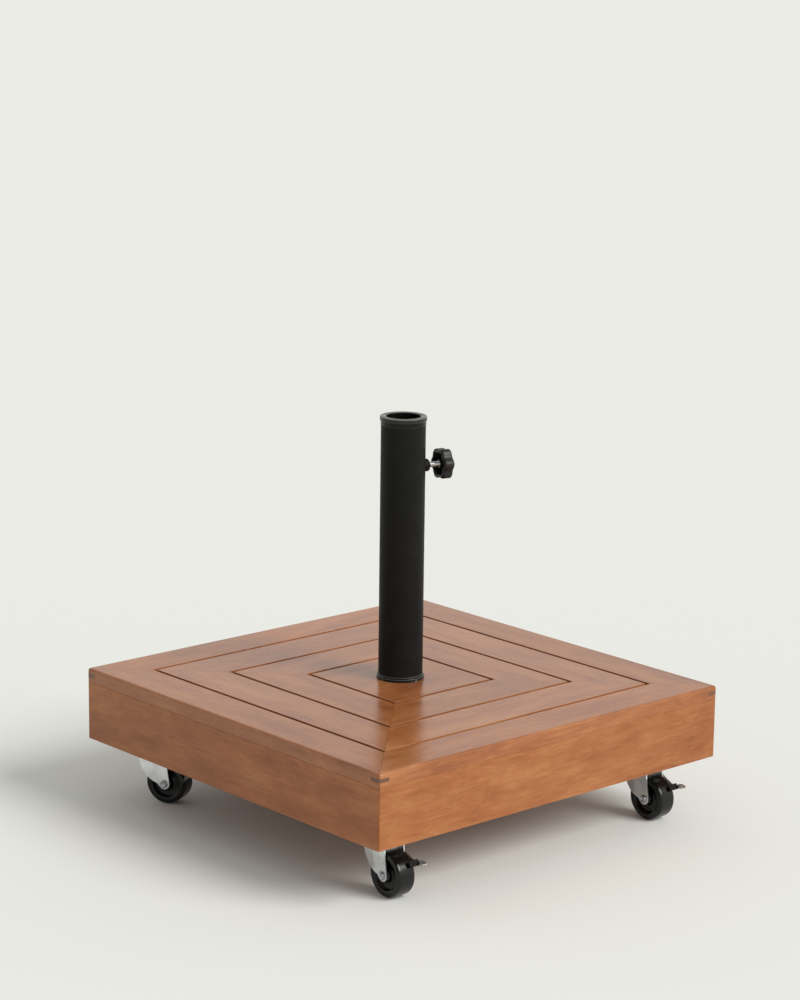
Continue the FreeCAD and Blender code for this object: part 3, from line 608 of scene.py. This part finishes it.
# %% Wheels
# Each corner of an outline is (radius, height, reach of its curve), in millimetres.
WHEEL_SIDE = [(3.05, 11.9, 0.3), (6.3, 11.9, 0.5), (7.3, 10.4, 0.5), (8.6, 6.2, 1.2),
              (12.2, 6.05, 0.5), (12.7, 6.5, 0.3), (15.2, 6.4, 1.0), (17.6, 10.4, 1.4),
              (19.0, 11.2, 0.8), (24.75, 11.2, 5.2), (24.9, 4.0, 3.0), (24.97, 0.2, 0.1)]
OTHER_SIDE = [(radius, -height, reach) for radius, height, reach in WHEEL_SIDE[::-1]]
wheel_outline = eased(WHEEL_SIDE + OTHER_SIDE)
for corner in CORNERS:
    settle(f"wheel_{corner}_moulded", turned(wheel_outline, axle_place(corner), 120), wheel_rubber,
           f"wheel_{corner}", [f"caster_wheel_{corner}"], crease=40)
print("outline points per wheel:", len(wheel_outline))

# %% [markdown]
# ## Forks and plates
# These are pressed from zinc-plated sheet. The CAD shapes are right, but their edges are perfectly
# sharp, and a pressed edge is rounded by the punch. So each one is copied, its triangles are joined
# back into whole faces, and a small bevel runs along every edge.

# %% Caster metal
for corner in CORNERS:
    softened(f"caster_fork_{corner}", zinc, "zinc_steel", 0.35)
    softened(f"caster_plate_{corner}", zinc, "zinc_steel", 0.3)
print("pressed pieces softened:", 2 * len(CORNERS))

# %% [markdown]
# ## Axles
# The axle is a bright bar with a washer under a cupped, riveted head on one side and a hexagonal nut
# on the other. The head is turned as a raised ring round a small cup, because that ring of light and
# shade is what shows at the tip of the leg. The nut is cut from a six-sided outline.

# %% Axles
LEG_OUTER = 14.0
NUT_REACH = 4.6
NUT_THICK = 3
AXLE_OUTLINE = eased([(0, -LEG_OUTER - 2.2, 0), (1.6, -LEG_OUTER - 2.2, 0.3),
                      (2.4, -LEG_OUTER - 2.7, 0.3), (3.2, -LEG_OUTER - 2.85, 0.3),
                      (4.2, -LEG_OUTER - 1.9, 0.6), (4.1, -LEG_OUTER - 0.7, 0.2),
                      (3.7, -LEG_OUTER - 0.6, 0.1), (5.3, -LEG_OUTER - 0.55, 0.15),
                      (5.3, -LEG_OUTER, 0), (3.0, -LEG_OUTER, 0),
                      (3.0, LEG_OUTER + 3.9, 0.4), (0, LEG_OUTER + 3.9, 0)], 3)
NUT_OUTLINE = [Vector((NUT_REACH * math.cos(math.radians(60 * step)),
                       NUT_REACH * math.sin(math.radians(60 * step)))) for step in range(6)]
for corner in CORNERS:
    place = (caster_place(corner) @ Matrix.Translation(front_pin)
             @ Matrix.Rotation(-math.pi / 2, 4, "X"))
    settle(f"caster_axle_{corner}_turned", turned(AXLE_OUTLINE, place, 48), axle_steel,
           f"fork_{corner}", [f"caster_axle_{corner}"])
    nut = stamped(NUT_OUTLINE, place, LEG_OUTER, LEG_OUTER + NUT_THICK)
    settle(f"caster_nut_{corner}_hexagonal", nut, axle_steel, f"fork_{corner}",
           [f"caster_axle_{corner}"], 0.4)
print("axles turned:", len(CORNERS))

# %% [markdown]
# ## Side brakes
# A brake is a stamped arm pinned to the leg. Its end is a narrow finger tab, and a curved black shoe
# hangs over the tread. Pressing the tab swings the shoe onto the wheel. The arm stays flat against
# the leg, and the tab twists from upright to flat, so it is built as a strip of cross-sections.

# %% Brakes
ARM_OUTLINE = eased([(10.2, -26.5, 1.2), (10.6, -23.4, 1.2), (12.6, -21.4, 1.0), (15.8, -21.2, 1.5),
                     (21.6, -25.8, 2), (27.2, -28.4, 2), (31.4, -30.8, 2), (37.0, -29.6, 1),
                     (42.0, -29.4, 0), (42.0, -32.4, 0), (38.0, -34.0, 1.5), (33.0, -35.0, 2),
                     (27.3, -34.4, 2), (20.5, -30.8, 2), (14.5, -29.6, 1.5), (12.0, -28.8, 1.2)], 3)
ARM_INNER = 14.3
ARM_OUTER = 15.9
ARM_MIDDLE = (ARM_INNER + ARM_OUTER) / 2
SHOE_NEAR = 3.0
SHOE_RADII = (27.2, 28.8)
SHOE_FROM_DEGREES = 26
SHOE_SWEEP_DEGREES = 14
SHOE_STEPS = 6
# Stations along the tab: distance from the pin, height of its middle, half width, lean in degrees.
TAB_STATIONS = ((41.0, -31.0, 1.6, 88), (42.8, -30.8, 2.4, 64), (45.0, -30.6, 3.1, 42),
                (47.8, -30.4, 3.0, 27), (50.6, -30.2, 2.2, 19), (52.6, -30.0, 1.2, 14),
                (53.4, -30.0, 0.5, 14))


def finger_tab(place):
    """The twisted strip at the arm's end, 1.5 mm thick."""
    shape = bmesh.new()
    rows = []
    for along, height, half_width, lean in TAB_STATIONS:
        angle = math.radians(lean)
        wide = Vector((0, math.cos(angle), math.sin(angle)))
        thick = Vector((0, -math.sin(angle), math.cos(angle)))
        middle = Vector((along, ARM_MIDDLE, height))
        rows.append([shape.verts.new(place @ (middle + wide * across * half_width + thick * up))
                     for across, up in ((-1, -0.75), (0, -0.55), (1, -0.75),
                                        (1, 0.75), (0, 0.95), (-1, 0.75))])
    for row, following in zip(rows, rows[1:]):
        for low in range(len(row)):
            high = (low + 1) % len(row)
            shape.faces.new((row[low], row[high], following[high], following[low]))
    shape.faces.new(rows[0][::-1])
    shape.faces.new(rows[-1])
    return shape


def shoe_outline():
    """The shoe's section: an arc over the tread, as points about the pin."""
    inner, outer = SHOE_RADII
    sweep = [math.radians(SHOE_FROM_DEGREES + SHOE_SWEEP_DEGREES * step / SHOE_STEPS)
             for step in range(SHOE_STEPS + 1)]
    arc = [(radius * math.cos(angle), radius * math.sin(angle))
           for radius, angles in ((inner, sweep), (outer, sweep[::-1])) for angle in angles]
    return [Vector((front_pin.x + x, front_pin.z + y)) for x, y in arc]


print("brake tab reaches (mm):", TAB_STATIONS[-1][0])

# %% [markdown]
# ## Fitting the brakes
# The same four pieces go on every caster: arm, tab, shoe and the rivet that they turn on. They ride
# on the lever's body, so the whole brake tips about the rivet. The rivet is turned like the axle.

# %% Fit the brakes
RIVET = eased([(0, -ARM_OUTER - 1.1, 0), (2.4, -ARM_OUTER - 1.1, 0.8), (3.6, -ARM_OUTER - 0.3, 0.3),
               (3.6, -ARM_OUTER, 0), (2.0, -ARM_OUTER, 0), (2.0, -ARM_INNER + 2.2, 0.3),
               (0, -ARM_INNER + 2.2, 0)], 3)
RIVET_AT = (14.5, -25, 0)
for corner in CORNERS:
    lever, node = f"lever_{corner}", [f"brake_lever_{corner}"]
    place = caster_place(corner)
    upright = place @ Matrix.Rotation(math.pi / 2, 4, "X")
    settle(f"brake_arm_{corner}", stamped(ARM_OUTLINE, upright, -ARM_OUTER, -ARM_INNER), zinc,
           lever, node, 0.35)
    settle(f"brake_tab_{corner}", finger_tab(place), zinc, lever, node, 0.25)
    settle(f"brake_shoe_{corner}", stamped(shoe_outline(), upright, -ARM_OUTER - 0.1, -SHOE_NEAR),
           shoe_rubber, lever, node, 0.3)
    settle(f"brake_rivet_{corner}", turned(RIVET, upright @ Matrix.Translation(RIVET_AT), 40),
           bright_steel, lever, node)
print("brakes fitted:", len(CORNERS))

# %% [markdown]
# ## Tube cap and collar
# A moulded cap lines the top of the tube. Its lip sits on the rim and a thin skirt runs about a
# centimetre down the outside, where it shows as one fine line. At the foot a stepped plastic collar
# hides the hole in the deck. Both are turned, because the lip's soft edge gives the bright ring, and
# a painted highlight on their sharp edges, from the cap's finish, makes that ring brighter.

# %% Cap and collar
upright_axis = axis_frame((0, 0, 0), (0, 0, 1), (1, 0, 0))
cap_low, cap_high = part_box("reducer_cap")
CAP_TOP = cap_high.z / MM
CAP_SLEEVE_END = cap_low.z / MM
COLLAR_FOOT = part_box("collar_ring")[0].z / MM
cap_outline = eased([(19.6, CAP_SLEEVE_END, 0.3), (23.85, CAP_SLEEVE_END, 0.3),
                     (23.85, CAP_TOP - 4.5, 0), (25.42, CAP_TOP - 4.5, 0),
                     (25.42, CAP_TOP - 9.5, 0), (25.8, CAP_TOP - 9.5, 0.2),
                     (25.8, CAP_TOP - 4.7, 0.3), (26.7, CAP_TOP - 4.5, 0.4),
                     (26.7, CAP_TOP, 0.9), (19.6, CAP_TOP, 0.7)])
collar_outline = eased([(25.45, COLLAR_FOOT, 0), (27.4, COLLAR_FOOT, 0.2),
                        (27.4, COLLAR_FOOT + 3.2, 0.7), (26.5, COLLAR_FOOT + 3.6, 0.3),
                        (26.1, COLLAR_FOOT + 5.6, 0.6), (25.45, COLLAR_FOOT + 5.6, 0.1)])
settle("reducer_cap_moulded", turned(cap_outline, upright_axis, 160), cap_plastic, "base",
       ["reducer_cap"])
settle("collar_moulded", turned(collar_outline, upright_axis, 160), cap_plastic, "base",
       ["collar_ring"])
print("cap top at", round(CAP_TOP, 1), "mm, collar foot at", round(COLLAR_FOOT, 1), "mm")

# %% [markdown]
# ## Pole clamp
# A threaded stud goes through a nut welded on the tube, and a six-lobed plastic knob turns it. The
# knob is hollow on the tube's side, with a hub for the stud, as mouldings are. Its star is a circle
# whose radius swells six times round, more at the rim than at the hub. A boolean of seven cylinders
# would leave hard creases between the lobes, and the real ones flow into each other.

# %% Knob
turn_joint = joints["clamp_turn"]
outwards = -Vector(turn_joint["axis"])
level_side = outwards.cross(Vector((0, 0, 1)))
knob_place = axis_frame(turn_joint["pos_m"], outwards, level_side)
LOBES = 6
LOBE_SWELL = 1.45
LOBE_LEAN = math.radians(6)
HUB_RADIUS = 6.0
RIM_RADIUS = 17.0


def star(angle, radius):
    """Swell a radius into six lobes, fully at the rim and not at all at the hub."""
    share = min(1.0, max(0.0, (radius - HUB_RADIUS) / (RIM_RADIUS - HUB_RADIUS)))
    wave = 2 * (0.5 + 0.5 * math.cos(LOBES * (angle + LOBE_LEAN))) ** 0.9 - 1
    return radius + share * LOBE_SWELL * wave


knob_outline = eased([(3.05, 1.2, 0.2), (4.8, 1.2, 0.5), (5.4, 9.6, 0.8), (11.6, 9.8, 1.4),
                      (12.8, 1.6, 1.0), (13.6, 0.0, 0.6), (15.8, 0.0, 0.7), (RIM_RADIUS, 1.4, 1.0),
                      (RIM_RADIUS, 11.2, 1.1), (15.6, 12.8, 1.4), (8.0, 13.0, 1.0), (0, 12.6, 0),
                      (0, 10.2, 0), (3.05, 10.2, 0)])
settle("star_knob", turned(knob_outline, knob_place, 180, star), knob_plastic, "clamp_screw",
       ["clamp_knob"], crease=40)
print("knob across its lobes (mm):", 2 * (RIM_RADIUS + LOBE_SWELL))

# %% [markdown]
# ## Stud and weld
# The stud's thread is a real screw surface: at each point the radius depends on how far along the
# pitch that point is, and the pitch is the distance that the joint advances in one turn. The nut is
# joined to the tube by a small lumpy bead, which follows the curve where the two round shapes meet.

# %% Stud, nut and weld bead
PITCH = 1.0
THREAD_DEPTH = 0.36
STUD_RADIUS = 3.0
STUD_START = -18.9
STUD_END = 10.0
CHAMFER = 0.7


def threaded_rod(place, start, end, around=36, rows_per_pitch=8):
    """A rod with a true screw thread, and chamfered ends."""
    shape = bmesh.new()
    count = round((end - start) / PITCH * rows_per_pitch)
    rings = []
    for row in range(count + 1):
        height = start + (end - start) * row / count
        from_end = min(height - start, end - height)
        ring = []
        for step in range(around):
            along_pitch = (height / PITCH - step / around) % 1.0
            radius = STUD_RADIUS - THREAD_DEPTH * abs(2 * along_pitch - 1)
            radius = min(radius, STUD_RADIUS - CHAMFER + from_end)
            angle = 2 * math.pi * step / around
            ring.append(shape.verts.new(place @ Vector((radius * math.cos(angle),
                                                        radius * math.sin(angle), height))))
        rings.append(ring)
    for ring, following in zip(rings, rings[1:]):
        for low in range(around):
            high = (low + 1) % around
            shape.faces.new((ring[low], ring[high], following[high], following[low]))
    shape.faces.new(rings[0][::-1])
    shape.faces.new(rings[-1])
    return shape


def weld_bead(place, reach, tube_radius, centre_back, thick, steps=120, sides=12):
    """A lumpy ring that lies on the tube, round the nut; the tube's axis is centre_back away."""
    shape = bmesh.new()
    rings = []
    for step in range(steps):
        angle = 2 * math.pi * step / steps
        x, y = reach * math.cos(angle), reach * math.sin(angle)
        height = math.sqrt(tube_radius ** 2 - x ** 2) - centre_back
        lump = thick * (1 + 0.14 * math.sin(17 * angle) + 0.06 * math.sin(41 * angle + 1))
        outward = Vector((math.cos(angle), math.sin(angle), 0))
        ring = []
        for turn in range(sides):
            around = 2 * math.pi * turn / sides
            aside = outward * math.cos(around) + Vector((0, 0, math.sin(around)))
            ring.append(shape.verts.new(place @ (Vector((x, y, height)) + lump * aside)))
        rings.append(ring)
    for index, ring in enumerate(rings):
        following = rings[(index + 1) % steps]
        for low in range(sides):
            high = (low + 1) % sides
            shape.faces.new((ring[low], following[low], following[high], ring[high]))
    return shape


settle("clamp_stud_threaded", threaded_rod(knob_place, STUD_START, STUD_END), bright_steel,
       "clamp_screw", ["clamp_stud"], crease=50)
softened("weld_nut", powder_coat, "black_steel", 0.6)
TUBE_RADIUS = 25.4
BEAD_REACH = 7.5
BEAD_THICK = 0.75
KNOB_START = (Vector(turn_joint["pos_m"]) - Vector((0, 0, turn_joint["pos_m"][2]))).length / MM
settle("nut_weld", weld_bead(knob_place, BEAD_REACH, TUBE_RADIUS, KNOB_START, BEAD_THICK),
       powder_coat, "base", crease=60)
print("thread turns on the stud:", round((STUD_END - STUD_START) / PITCH, 1))

# %% [markdown]
# ## Floor and light
# The floor is a wide pale plane under a pale sky, like a large white studio with one dim side. The
# right side of the box is the bright one, so a wide, soft sun stands to the right, less than halfway
# up. An area lamp would fall off with distance and leave the far floor grey, while a sun with a wide
# angle lights it evenly and still gives soft shadows. The dim side darkens the left of the tube,
# which helps it to look round.

# %% Stage
FLOOR_COLOUR = (0.775, 0.781, 0.758)
FLOOR_WIDTH = 120
SKY_COLOUR = (1.0, 1.005, 0.98)
HORIZON_STRENGTH = 0.95
ZENITH_STRENGTH = 0.52
DIM_SIDE = (-0.95, -0.30, 0.10)
DIM_SHARE = 0.60
SUN_TOWARDS = (0.30, -0.76, 0.60)
SUN_COLOUR = (1.0, 0.99, 0.965)
SUN_STRENGTH = 2.45
SUN_WIDTH_DEGREES = 30


def studio_floor():
    """A square floor, so wide that its far edge lies near the horizon."""
    floor_finish = Finish("floor", FLOOR_COLOUR, 0.9)
    floor_finish.shader.inputs["Specular IOR Level"].default_value = 0.0
    haze = floor_finish.noise(floor_finish.coords, (0.5, 0.5, 0.5), detail=1)
    paler = tuple(1.01 * part for part in FLOOR_COLOUR)
    floor_finish.colour(floor_finish.mix(haze, FLOOR_COLOUR, paler))
    mesh = bpy.data.meshes.new("floor")
    half = FLOOR_WIDTH / 2
    mesh.from_pydata([(-half, -half, 0), (half, -half, 0), (half, half, 0), (-half, half, 0)],
                     [], [(0, 1, 2, 3)])
    floor = bpy.data.objects.new("floor", mesh)
    floor.data.materials.append(floor_finish.material)
    bpy.context.scene.collection.objects.link(floor)


def soft_sun(name, towards, strength, width_degrees, colour):
    """A sun seen in the direction towards, as a disc that many degrees wide."""
    data = bpy.data.lights.new(name, "SUN")
    data.energy = strength
    data.angle = math.radians(width_degrees)
    data.color = colour
    lamp = bpy.data.objects.new(name, data)
    lamp.rotation_mode = "QUATERNION"
    lamp.rotation_quaternion = Vector(towards).to_track_quat("Z", "Y")
    bpy.context.scene.collection.objects.link(lamp)


def studio_sky(colour, low_strength, high_strength, dark_side, dark_share):
    """A sky brightest at the horizon, falling evenly towards straight up, and dim on one side."""
    world = bpy.data.worlds.new("studio")
    world.use_nodes = True
    tree = world.node_tree
    background = tree.nodes["Background"]
    background.inputs["Color"].default_value = (*colour, 1)
    direction = tree.nodes.new("ShaderNodeTexCoord").outputs["Generated"]
    parts = tree.nodes.new("ShaderNodeSeparateXYZ")
    fall = tree.nodes.new("ShaderNodeMapRange")
    fall.inputs["To Min"].default_value = low_strength
    fall.inputs["To Max"].default_value = high_strength
    facing = tree.nodes.new("ShaderNodeVectorMath")
    facing.operation = "DOT_PRODUCT"
    facing.inputs[1].default_value = Vector(dark_side).normalized()
    dimming = tree.nodes.new("ShaderNodeMapRange")
    dimming.interpolation_type = "SMOOTHSTEP"
    dimming.inputs["From Min"].default_value = 0.1
    dimming.inputs["From Max"].default_value = 0.95
    dimming.inputs["To Min"].default_value = 1.0
    dimming.inputs["To Max"].default_value = dark_share
    strength = tree.nodes.new("ShaderNodeMath")
    strength.operation = "MULTIPLY"
    tree.links.new(direction, parts.inputs["Vector"])
    tree.links.new(parts.outputs["Z"], fall.inputs["Value"])
    tree.links.new(direction, facing.inputs[0])
    tree.links.new(facing.outputs["Value"], dimming.inputs["Value"])
    tree.links.new(fall.outputs["Result"], strength.inputs[0])
    tree.links.new(dimming.outputs["Result"], strength.inputs[1])
    tree.links.new(strength.outputs["Value"], background.inputs["Strength"])
    bpy.context.scene.world = world


studio_floor()
studio_sky(SKY_COLOUR, HORIZON_STRENGTH, ZENITH_STRENGTH, DIM_SIDE, DIM_SHARE)
soft_sun("key_light", SUN_TOWARDS, SUN_STRENGTH, SUN_WIDTH_DEGREES, SUN_COLOUR)
bpy.context.scene.view_settings.view_transform = "Standard"
print("floor width (m):", FLOOR_WIDTH, "sun strength:", SUN_STRENGTH)
